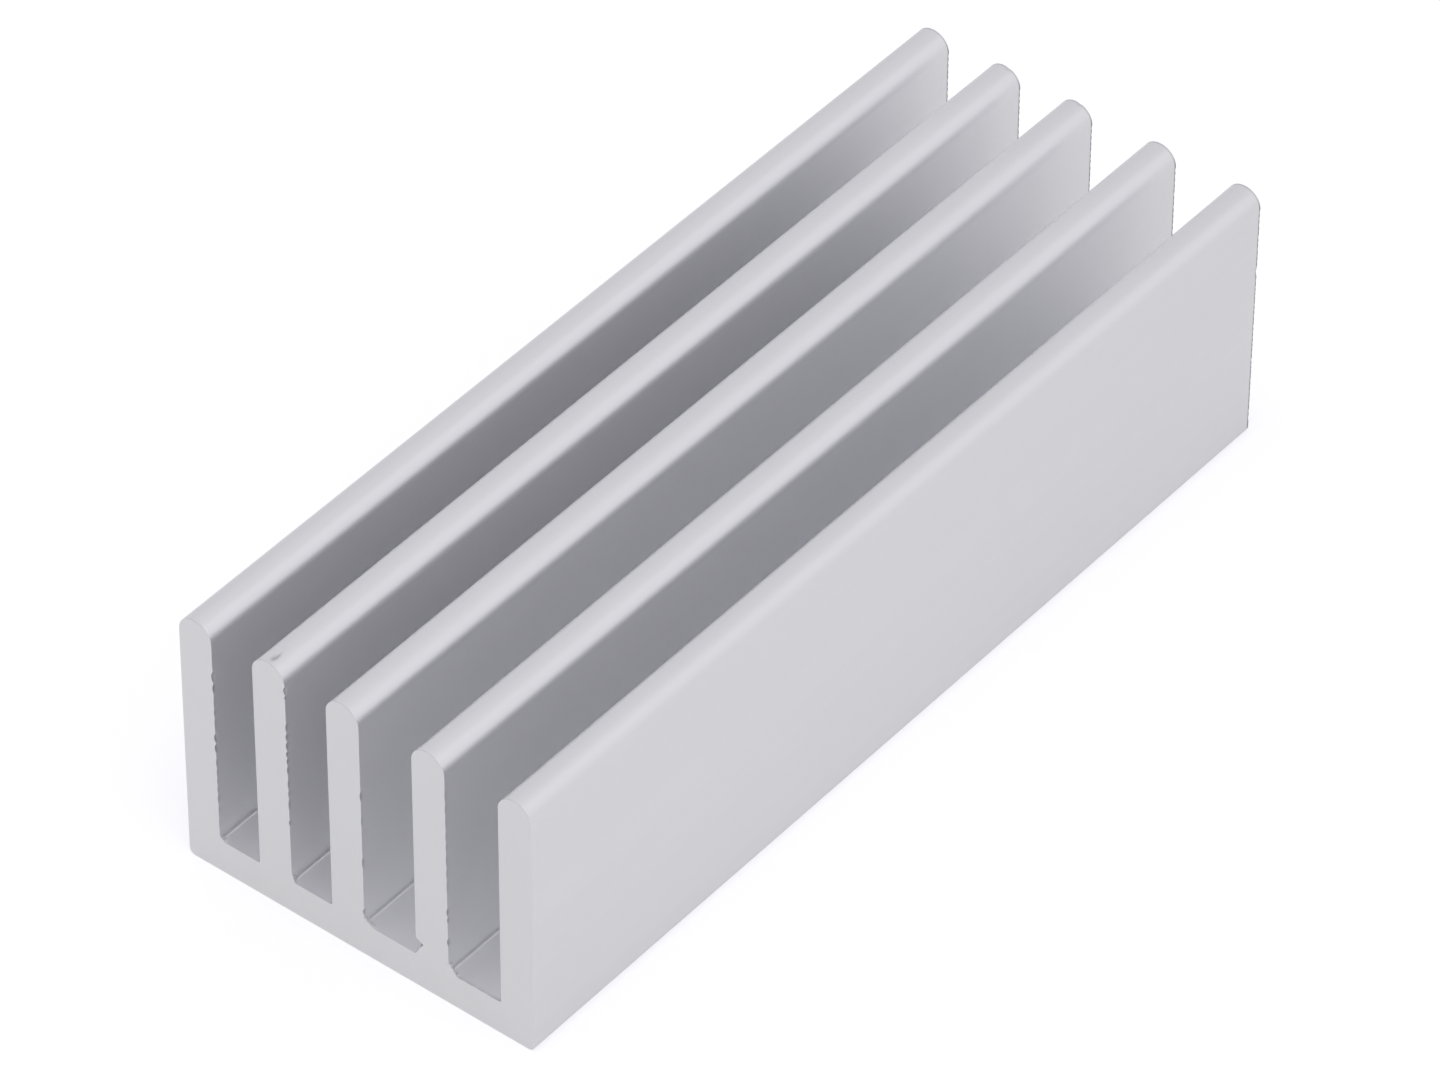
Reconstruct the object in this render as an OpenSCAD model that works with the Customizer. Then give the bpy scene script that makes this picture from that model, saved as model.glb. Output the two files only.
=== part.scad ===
// Extruded heat sink: one aluminium bar with a flat base plate and upright fins
// that run its whole length, cut square at both ends.
// The fins stand closer together on the left than on the right.
// X runs across the fins, Y along them and Z up from the underside.

/* [Overall] */
// Length of the bar between its two cut ends
length = 75; // [20:1:300]
// Height from the underside to the top of the fins
height = 20.8; // [12:0.1:60]
// Thickness of the base plate at the channel floors
base_t = 2.7; // [1.5:0.1:6]

/* [Fins] */
// Thickness of a fin, whose tip is a full half round
fin_t = 2.65; // [1:0.05:3.5]
// Centre distance of the close fins on the left
close_pitch = 6; // [5:0.1:12]
// Centre distance of the wide fins on the right
wide_pitch = 6.9; // [5:0.1:16]
// Channels at the close spacing
close_channels = 2; // [0:1:8]
// Channels at the wide spacing
wide_channels = 2; // [1:1:8]

/* [Edges] */
// Fillet at the left root of each channel, on the right face of a fin
left_root_r = 0.2; // [0.1:0.05:0.7]
// Fillet at the right root of each channel, on the left face of a fin
right_root_r = 0.15; // [0.1:0.05:0.7]
// Rounding of the two long bottom corners
corner_r = 0.5; // [0.1:0.05:1]

/* [Hidden] */
$fn = 64;

// How far a cutting shape runs past the surface that it opens
cut_over = 1;

tip_r = fin_t / 2;
fins = 1 + close_channels + wide_channels;

// Centre of each fin, counted from the first one on the left
fin_x = [
    for (i = [0:fins - 1])
        min(i, close_channels) * close_pitch + max(i - close_channels, 0) * wide_pitch
];

// The section lies with its middle on X = 0
width = fin_x[fins - 1] + fin_t;
first_x = tip_r - width / 2;

// Rectangle with corners (x0, z0) and (x1, z1)
module rect(x0, z0, x1, z1) {
    translate([x0, z0]) square([x1 - x0, z1 - z0]);
}

// Rectangle with one radius at its lower left corner and one at its lower right
module round_bottomed(x0, z0, x1, z1, left_r, right_r) {
    rect(x0 + left_r, z0, x1 - right_r, z1);
    rect(x0, z0 + left_r, x0 + left_r, z1);
    rect(x1 - right_r, z0 + right_r, x1, z1);
    translate([x0 + left_r, z0 + left_r]) circle(r = left_r);
    translate([x1 - right_r, z0 + right_r]) circle(r = right_r);
}

// Air channel between fin i and the next one, open at the top
module channel(i) {
    round_bottomed(
        first_x + fin_x[i] + tip_r, base_t,
        first_x + fin_x[i + 1] - tip_r, height + cut_over,
        left_root_r, right_root_r
    );
}

// Cross-section of the bar, as the die gives it
module section() {
    difference() {
        round_bottomed(-width / 2, 0, width / 2, height - tip_r, corner_r, corner_r);
        for (i = [0:fins - 2]) channel(i);
    }
    for (x = fin_x) translate([first_x + x, height - tip_r]) circle(r = tip_r);
}

module heat_sink() {
    color([0.80, 0.80, 0.82])
        translate([0, length / 2, 0])
            rotate([90, 0, 0])
                linear_extrude(height = length) section();
}

heat_sink();
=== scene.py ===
# Looks of the extruded heat sink: one sawn length of bare aluminium bar on a pale studio floor.
import math

import bpy
import numpy as np
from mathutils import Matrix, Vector


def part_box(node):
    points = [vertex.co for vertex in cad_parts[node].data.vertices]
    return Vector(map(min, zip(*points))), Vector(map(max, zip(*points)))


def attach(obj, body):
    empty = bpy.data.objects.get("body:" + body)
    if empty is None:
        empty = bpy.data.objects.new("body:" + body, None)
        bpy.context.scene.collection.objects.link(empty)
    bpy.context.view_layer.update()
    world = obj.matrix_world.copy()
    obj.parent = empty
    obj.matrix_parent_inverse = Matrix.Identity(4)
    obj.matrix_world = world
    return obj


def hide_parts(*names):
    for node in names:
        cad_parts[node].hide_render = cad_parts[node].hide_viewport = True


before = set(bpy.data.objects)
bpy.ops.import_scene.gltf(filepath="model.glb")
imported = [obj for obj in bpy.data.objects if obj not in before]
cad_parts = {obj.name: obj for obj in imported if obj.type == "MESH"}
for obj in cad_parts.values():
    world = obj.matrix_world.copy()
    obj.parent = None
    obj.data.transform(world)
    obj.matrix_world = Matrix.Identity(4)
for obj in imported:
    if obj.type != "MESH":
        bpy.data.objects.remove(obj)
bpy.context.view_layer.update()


# ---------------------------------------------------------------------------
# Aluminium bar. The whole heat sink is one length of bare aluminium, pressed hot
# through a die, so its section stays the same and faint die lines run down every
# face. A circular saw has cut it off, and has left a ragged burr on some edges.

MM = 0.001
low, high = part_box("heat_sink")
base_t = 2.70 * MM
fin_t = 2.65 * MM
close_pitch = 6.00 * MM
wide_pitch = 6.90 * MM
left_root_r = 0.20 * MM
right_root_r = 0.15 * MM
corner_r = 0.50 * MM
saw_edge_r = 0.012 * MM
tip_r = fin_t / 2
shoulder = high.z - tip_r
fin_x = low.x + tip_r + np.cumsum([0, close_pitch, close_pitch, wide_pitch, wide_pitch])


def straight(start, end, step=0.12 * MM):
    """Points from start to end, at equal steps of about this length, without the last one."""
    start, end = np.array(start), np.array(end)
    count = max(1, math.ceil(np.linalg.norm(end - start) / step))
    return start + (end - start) * np.linspace(0, 1, count, endpoint=False)[:, None]


def bend(centre, radius, first, last, count=8):
    """Points round a circle from one angle to another in degrees, without the last one:
    the centre plus the radius times the cosine and the sine of the angle."""
    angle = np.radians(np.linspace(first, last, count, endpoint=False))
    return np.array(centre) + radius * np.stack([np.cos(angle), np.sin(angle)], 1)


def section_outline():
    """The section of the bar in X and Z, anticlockwise from its lower left: along the underside,
    up the right side, then over one fin after another to the left, with a channel between them."""
    parts = [
        straight((low.x + corner_r, low.z), (high.x - corner_r, low.z), step=0.5 * MM),
        bend((high.x - corner_r, low.z + corner_r), corner_r, -90, 0),
        straight((high.x, low.z + corner_r), (high.x, shoulder)),
    ]
    for x, next_x in zip(fin_x[:0:-1], fin_x[-2::-1]):
        wall, far_wall = x - tip_r, next_x + tip_r
        parts += [
            bend((x, shoulder), tip_r, 0, 180, count=36),
            straight((wall, shoulder), (wall, base_t + right_root_r), step=0.08 * MM),
            bend((wall - right_root_r, base_t + right_root_r), right_root_r, 0, -90),
            straight((wall - right_root_r, base_t), (far_wall + left_root_r, base_t)),
            bend((far_wall + left_root_r, base_t + left_root_r), left_root_r, -90, -180),
            straight((far_wall, base_t + left_root_r), (far_wall, shoulder), step=0.05 * MM),
        ]
    parts += [
        bend((fin_x[0], shoulder), tip_r, 0, 180, count=36),
        straight((low.x, shoulder), (low.x, low.z + corner_r)),
        bend((low.x + corner_r, low.z + corner_r), corner_r, 180, 270),
    ]
    return np.vstack(parts)


# The way out of the metal, at each point, is square to the line between the points beside it.
outline = section_outline()
side_x, side_z = outline.T
step_x, step_z = (np.roll(outline, -1, axis=0) - np.roll(outline, 1, axis=0)).T
out_x = step_z / np.hypot(step_x, step_z)
out_z = -step_x / np.hypot(step_x, step_z)
facing = 0.9
faces_right, faces_left, faces_up = out_x > facing, out_x < -facing, out_z > facing

# Rings of points stand close together by the two cuts, where the edges are torn, and far apart
# between them, where every ring is the same.
from_end = np.array([0, 0.01, 0.04, 0.08, 0.12, 0.18, 0.26, 0.36, 0.50, 0.70, 0.95, 1.30, 2.00]) * MM
plain_from = 15 * MM
ring_y = np.concatenate([
    low.y + from_end,
    np.linspace(low.y + plain_from, high.y - plain_from, 3),
    high.y - from_end[::-1],
])
near, far = (ring_y - low.y)[:, None], (high.y - ring_y)[:, None]
chance = np.random.default_rng(5)
uneven = (0.67, 1.33)


def scallops(along, lowest, highest, pitch, deep):
    """Depth of the bites side by side along a torn edge, from lowest to highest in millimetres:
    half waves of a sine, whose lengths and depths vary by a third, with sharp teeth between them."""
    count = max(1, round((highest - lowest) / pitch))
    ends = np.cumsum(np.append(0, chance.uniform(*uneven, count)))
    ends = (lowest + (highest - lowest) * ends / ends[-1]) * MM
    which = np.clip(np.searchsorted(ends, along) - 1, 0, count - 1)
    share = np.clip((along - ends[which]) / (ends[which + 1] - ends[which]), 0, 1)
    return chance.uniform(*uneven, count)[which] * deep * MM * np.sin(np.pi * share)


def knock(x, y, z, wide, long, deep):
    """Depth of a dent at each point of the bar: a bell curve of the distance from its middle,
    which counts for less along Y where the dent is longer than it is wide."""
    apart = (side_x - x * MM) ** 2 + (side_z - z * MM) ** 2
    apart = apart / wide ** 2 + ((ring_y[:, None] - y * MM) / long) ** 2
    return deep * MM * np.exp(-apart / MM ** 2)


def fade(distance, reach, power=2):
    """Falls from 1 at a cut to 0 away from it: e to the power of minus the distance over the
    reach, raised to this power, which makes it hold on longer and then fall faster."""
    return np.exp(-(distance / reach) ** power)


def edge_round(distance):
    """How far the rounded edge of a cut lies inside the sharp one, at this distance from the cut:
    the radius less the height of its quarter circle there."""
    reach = np.clip(saw_edge_r - distance, 0, None)
    return saw_edge_r - np.sqrt(saw_edge_r ** 2 - reach ** 2)


# The saw has torn its near cut here and there, on the right faces of the fins and on the floor
# of the last channel: a thin lip stands up, with bites in it whose shade is painted dark. It has
# only nibbled the far cut.
close_by = 0.02 * MM
lip_share = 0.35
floor_lip = 0.03 * MM
bites = np.zeros(len(outline))
lip = np.zeros(len(outline))
for fin, lowest, highest, pitch, deep in (
    (0, 3.6, 9.8, 0.90, 0.03), (0, 10.2, 12.0, 0.75, 0.13), (0, 12.2, 15.1, 0.90, 0.03),
    (0, 15.3, 17.3, 0.90, 0.11), (1, 7.5, 8.1, 0.60, 0.11), (1, 8.8, 11.6, 0.80, 0.05),
    (1, 11.9, 16.4, 0.80, 0.08), (1, 18.3, 19.5, 0.60, 0.11), (2, 3.4, 4.0, 0.60, 0.07),
    (2, 7.4, 8.5, 0.80, 0.04), (2, 11.0, 12.1, 1.00, 0.04), (2, 13.2, 14.2, 0.90, 0.07),
    (3, 4.9, 5.7, 0.80, 0.10), (3, 6.9, 8.3, 0.70, 0.08), (3, 9.5, 18.5, 1.10, 0.02),
):
    on_face = faces_right & (np.abs(side_x - fin_x[fin] - tip_r) < close_by)
    bites = bites + on_face * scallops(side_z, lowest, highest, pitch, deep)
    torn_part = (side_z > lowest * MM) * (side_z < highest * MM)
    lip = lip + on_face * torn_part * lip_share * deep * MM
on_floor = faces_up & (side_z < base_t + close_by) & (side_x > fin_x[3])
bites = bites + on_floor * scallops(side_x, lowest=7.8, highest=11.4, pitch=0.9, deep=0.03)
lip = lip + on_floor * floor_lip
nibbles = faces_right * scallops(side_z, lowest=1.0, highest=19.4, pitch=0.5, deep=0.04)

# It has also torn a bite from the left root of the fourth fin, and the bar has a few knocks.
at_bite = faces_left & (np.abs(side_x - fin_x[3] + tip_r) < close_by)
bite_heights, bite_depths = [2.75, 3.40, 3.80, 4.15], [0, 0.30, 0.62, 0]
bite = at_bite * np.interp(side_z / MM, bite_heights, bite_depths) * MM
torn = bite * fade(near, 0.40 * MM)
torn = torn + bites * fade(near, 0.20 * MM) + nibbles * fade(far, 0.10 * MM)
for x, y, z, wide, long, deep in (
    (-6.85, -36.75, 20.80, 0.16, 0.40, 0.14), (high.x / MM, 37.50, 14.10, 0.22, 0.18, 0.08),
    (-6.60, 37.42, 20.75, 0.26, 0.12, 0.05), (-0.65, 37.42, 20.75, 0.22, 0.12, 0.05),
):
    torn = torn + knock(x, y, z, wide, long, deep)
rise = lip * fade(near, 0.12 * MM) - torn - edge_round(near) - edge_round(far)
shift_x = rise * out_x
shift_z = rise * out_z

# Scraps of metal close the left root of each channel at the near cut. Each one is a web across
# the corner, so the points of the corner move along it onto a straight line between its ends,
# and the line waves a little.
web = fade(near, 0.30 * MM, power=4)
corner_reach = 2 * MM
slack = 1e-7
wave_height, wave_rate = 0.12, 23
for fin, tall, wide in ((0, 0.30, 0.45), (1, 0.70, 0.28), (2, 0.50, 0.85), (3, 0.80, 0.68)):
    right = side_x - fin_x[fin] - tip_r
    above = side_z - base_t
    part = (wide * MM - right + above) / ((wide + tall) * MM)
    in_corner = (right > -slack) & (above > -slack) & (right < corner_reach)
    inside = in_corner & (part > 0) & (part < 1)
    ragged = 1 + wave_height * np.sin(wave_rate * part + fin)
    shift_x = shift_x + web * inside * (wide * MM * (1 - part) * ragged - right)
    shift_z = shift_z + web * inside * (tall * MM * part * ragged - above)

# The rings are joined into walls of four-sided faces, and each cut is one face. A bite or a knock
# of this depth or more gets the darkest painted shade.
full_shade_depth = 0.08 * MM
points = np.empty((len(ring_y), len(outline), 3))
points[:, :, 0] = side_x + shift_x
points[:, :, 1] = ring_y[:, None]
points[:, :, 2] = side_z + shift_z
index = np.arange(points[:, :, 0].size).reshape(points.shape[:2])
beside = np.roll(index, -1, axis=1)
quads = np.stack([index[:-1], beside[:-1], beside[1:], index[1:]], -1).reshape(-1, 4)
mesh = bpy.data.meshes.new("aluminium_bar")
mesh.from_pydata(
    points.reshape(-1, 3).tolist(),
    [],
    quads.tolist() + [index[0, ::-1].tolist(), index[-1].tolist()],
)
mesh.shade_smooth()
mesh.set_sharp_from_angle(angle=math.radians(20))
cut_face = np.zeros(len(mesh.polygons), dtype=np.int32)
cut_face[-2:] = 1
mesh.polygons.foreach_set("material_index", cut_face)
# Painted shade: each point keeps how darkly the shade in its bite or knock is painted into the
# colour.
painted_dent_shade = mesh.attributes.new("painted_dent_shade", "FLOAT", "POINT")
painted_dent_shade.data.foreach_set("value", np.clip(torn / full_shade_depth, 0, 1).ravel())
bar = bpy.data.objects.new("aluminium_bar", mesh)
bpy.context.scene.collection.objects.link(bar)


class Signal:
    """One socket of a material. Its operators add the Math nodes that they stand for,
    and node() adds a node of any other type."""

    def __init__(self, tree, socket=None):
        self.tree = tree
        self.socket = socket

    def node(self, kind, settings, sockets, output=0):
        """Adds a node of this type: its settings first, then the value or the link of each
        socket, by name or number. Gives the output asked for."""
        added = self.tree.nodes.new(kind)
        for name, setting in settings.items():
            setattr(added, name, setting)
        for name, value in sockets.items():
            if isinstance(value, Signal):
                self.tree.links.new(value.socket, added.inputs[name])
            else:
                added.inputs[name].default_value = value
        return Signal(self.tree, added.outputs[output] if added.outputs else None)

    def math(self, operation, *terms):
        """Adds a Math node for this operation on these terms."""
        return self.node("ShaderNodeMath", {"operation": operation}, dict(enumerate(terms)))

    def __add__(self, other):
        return self.math("ADD", self, other)

    __radd__ = __add__

    def __sub__(self, other):
        return self.math("SUBTRACT", self, other)

    def __rsub__(self, other):
        return self.math("SUBTRACT", other, self)

    def __mul__(self, other):
        return self.math("MULTIPLY", self, other)

    __rmul__ = __mul__


def open_tree(owner):
    """Empties the node tree of a material or a world, and gives a signal to start it from."""
    owner.use_nodes = True
    owner.node_tree.nodes.clear()
    return Signal(owner.node_tree)


def axis(vector, number):
    """One axis of a vector: 0 for its X, 1 for its Y and 2 for its Z."""
    return vector.node("ShaderNodeSeparateXYZ", {}, {"Vector": vector}, number)


def grain(place, size, detail):
    """Noise about 0, whose grains have these three sizes in metres along X, Y and Z."""
    scale = [1 / length for length in size]
    sized = place.node("ShaderNodeMapping", {}, {"Vector": place, "Scale": scale})
    noise = {"Vector": sized, "Scale": 1.0, "Detail": detail, "Roughness": 0.6}
    return place.node("ShaderNodeTexNoise", {}, noise) - 0.5


def slope(signal, start, end):
    """A smooth step from 0 where the signal is at the start to 1 where it is at the end."""
    span = {"Value": signal, "From Min": start, "From Max": end}
    return signal.node("ShaderNodeMapRange", {"interpolation_type": "SMOOTHSTEP"}, span)


def two_tones(share, first, second):
    """Mixes two colours, from the first one where the share is 0 to the second where it is 1.
    A Mix node takes colours at its inputs 6 and 7, and gives them at its output 2."""
    return share.node("ShaderNodeMix", {"data_type": "RGBA"}, {0: share, 6: first, 7: second}, 2)


# Extruded faces: bare and matte, with die lines of three widths along Y and a faint cloudiness.
# Shade is painted dark into the bites and knocks, and into the last fifth of a millimetre at the far
# cut, for the shade of its burred edge.
extruded = bpy.data.materials.new("extruded_aluminium")
nodes = open_tree(extruded)
place = nodes.node("ShaderNodeTexCoord", {}, {}, "Object")
fine = grain(place, (0.35 * MM, 110 * MM, 0.35 * MM), 0.0)
middling = grain(place, (1.00 * MM, 150 * MM, 1.00 * MM), 0.0)
broad = grain(place, (3.20 * MM, 220 * MM, 3.20 * MM), 0.0)
cloud = grain(place, (5.0 * MM, 9.0 * MM, 5.0 * MM), 2.0)
tone = 0.5 + 0.5 * fine + 0.5 * middling + 0.4 * broad + 0.5 * cloud
clean_colour = two_tones(tone, (0.950, 0.950, 0.966, 1), (0.978, 0.978, 0.994, 1))
along, up = axis(place, 1), axis(place, 2)
# Painted shade: a dark band along the last fifth of a millimetre of the far cut, for the shade of
# its burred edge, weaker over the fin tips.
far_cut_shade = slope(along, high.y - 0.20 * MM, high.y - 0.08 * MM)
far_cut_shade = far_cut_shade * (1 - 0.6 * slope(up, shoulder, high.z - 0.5 * MM))
# Painted shade: the dark of the bites and knocks, read from the mesh. With the far-cut band it
# darkens the colour and roughens the metal.
dent_shade = nodes.node("ShaderNodeAttribute", {"attribute_name": "painted_dent_shade"}, {}, "Fac")
painted_shade = far_cut_shade.math("MAXIMUM", 0.85 * far_cut_shade, 0.55 * dent_shade)
shade_colour = (0.30, 0.30, 0.31, 1)
relief = 0.5 * fine + middling
die_lines = {"Strength": 1.0, "Distance": 2e-6, "Height": relief}
extruded_sockets = {
    "Base Color": two_tones(painted_shade, clean_colour, shade_colour),
    "Metallic": 0.85,
    "Roughness": 0.33 + 0.03 * fine + 0.04 * cloud + 0.3 * painted_shade,
    "Normal": relief.node("ShaderNodeBump", {}, die_lines),
}
surface = nodes.node("ShaderNodeBsdfPrincipled", {}, extruded_sockets)
nodes.node("ShaderNodeOutputMaterial", {}, {"Surface": surface})
mesh.materials.append(extruded)

# Sawn faces: the teeth of a 250 mm blade leave fine arcs across them, so the marks follow
# X less the height of a circle of the blade's radius, about a hub below the bar.
sawn = bpy.data.materials.new("sawn_aluminium")
nodes = open_tree(sawn)
place = nodes.node("ShaderNodeTexCoord", {}, {}, "Object")
across, along, up = axis(place, 0), axis(place, 1), axis(place, 2)
blade_r = 125 * MM
hub_depth = 70 * MM
above_hub = up + hub_depth
under_root = blade_r ** 2 - above_hub * above_hub
sweep = across - under_root.math("SQRT", under_root)
swept = across.node("ShaderNodeCombineXYZ", {}, {0: sweep, 1: along, 2: up})
marks = grain(swept, (0.30 * MM, 5 * MM, 14 * MM), 3.0)
bands = grain(swept, (1.7 * MM, 5 * MM, 30 * MM), 1.0)
cloud = grain(place, (4.0 * MM, 5 * MM, 4.0 * MM), 3.0)
tone = 0.7 + 0.6 * marks + 0.5 * bands + 0.6 * cloud
saw_marks = {"Strength": 1.0, "Distance": 8e-6, "Height": marks}
sawn_sockets = {
    "Base Color": two_tones(tone, (0.950, 0.950, 0.962, 1), (0.985, 0.985, 0.998, 1)),
    "Metallic": 0.90,
    "Roughness": 0.36 + 0.12 * marks + 0.10 * cloud,
    "Normal": marks.node("ShaderNodeBump", {}, saw_marks),
}
surface = nodes.node("ShaderNodeBsdfPrincipled", {}, sawn_sockets)
nodes.node("ShaderNodeOutputMaterial", {}, {"Surface": surface})
mesh.materials.append(sawn)

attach(bar, "root")
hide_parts("heat_sink")


# ---------------------------------------------------------------------------
# Studio floor: one wide sheet of matte white board, which carries the shadow of the bar.
# To the camera it glows up to white, and to bright metal up to the tone of the studio.

edge = 3
corners = [(-edge, -edge, 0), (edge, -edge, 0), (edge, edge, 0), (-edge, edge, 0)]
floor_mesh = bpy.data.meshes.new("studio_floor")
floor_mesh.from_pydata(corners, [], [(0, 1, 2, 3)])
floor = bpy.data.objects.new("studio_floor", floor_mesh)
bpy.context.scene.collection.objects.link(floor)
studio_white = (0.985, 0.980, 1.020, 1)
board = bpy.data.materials.new("white_board")
nodes = open_tree(board)
to_camera = nodes.node("ShaderNodeLightPath", {}, {}, "Is Camera Ray")
to_metal = nodes.node("ShaderNodeLightPath", {}, {}, "Is Glossy Ray")
board_glow = {"Color": studio_white, "Strength": 0.62 * to_camera + 0.26 * to_metal}
glow = nodes.node("ShaderNodeEmission", {}, board_glow)
matte = nodes.node("ShaderNodeBsdfDiffuse", {}, {"Color": (0.50, 0.50, 0.50, 1)})
both = nodes.node("ShaderNodeAddShader", {}, {0: glow, 1: matte})
nodes.node("ShaderNodeOutputMaterial", {}, {"Surface": both})
floor_mesh.materials.append(board)


# ---------------------------------------------------------------------------
# Studio light: a pale room, brighter behind the bar and on its right, one softbox overhead in
# front, and a weaker one on the right. The camera sees the room as an even white.

room = bpy.data.worlds.new("studio_room")
bpy.context.scene.world = room
nodes = open_tree(room)
to_camera = nodes.node("ShaderNodeLightPath", {}, {}, "Is Camera Ray")
heading = nodes.node("ShaderNodeTexCoord", {}, {}, "Generated")
rightward, backward = axis(heading, 0), axis(heading, 1)
room_level = 0.28 + 0.30 * slope(backward, -0.5, 0.5) + 0.12 * slope(rightward, 0.05, 0.45)
backdrop = 1.04
room_seen = room_level + (backdrop - room_level) * to_camera
glow = nodes.node("ShaderNodeBackground", {}, {"Color": studio_white, "Strength": room_seen})
nodes.node("ShaderNodeOutputWorld", {}, {"Surface": glow})


def softbox(name, centre, wide, tall, brightness):
    """An area lamp that faces the bar. Its power is its brightness times pi times its area."""
    lamp = bpy.data.lights.new(name, "AREA")
    lamp.shape = "RECTANGLE"
    lamp.size = wide
    lamp.size_y = tall
    lamp.energy = brightness * math.pi * wide * tall
    box = bpy.data.objects.new(name, lamp)
    box.location = centre
    box.rotation_euler = Vector(centre).to_track_quat("Z", "Y").to_euler()
    bpy.context.scene.collection.objects.link(box)


softbox("softbox_overhead", (0, -0.20, 0.90), wide=0.9, tall=0.55, brightness=2.2)
softbox("softbox_right", (0.62, -0.20, 0.62), wide=0.9, tall=0.55, brightness=0.5)
bpy.context.scene.cycles.glossy_bounces = 12
bpy.context.scene.cycles.diffuse_bounces = 12
bpy.context.scene.view_settings.view_transform = "Standard"


# ---------------------------------------------------------------------------
# Camera: a long lens from the front right and above, level but for a third of a degree.

lens = bpy.data.cameras.new("camera")
lens.sensor_width = 36
lens.lens = 228.0
lens.clip_end = 20
camera = bpy.data.objects.new("camera", lens)
azimuth, elevation, roll = np.radians([38.54, 42.17, 0.29])
distance = 0.58893
aim = Vector((-0.07, -1.264, 9.357)) * MM
toward = Vector((
    math.sin(azimuth) * math.cos(elevation),
    -math.cos(azimuth) * math.cos(elevation),
    math.sin(elevation),
))
camera.location = aim + distance * toward
camera.rotation_euler = toward.to_track_quat("Z", "Y").to_euler()
camera.rotation_euler.rotate_axis("Z", roll)
bpy.context.scene.collection.objects.link(camera)
bpy.context.scene.camera = camera
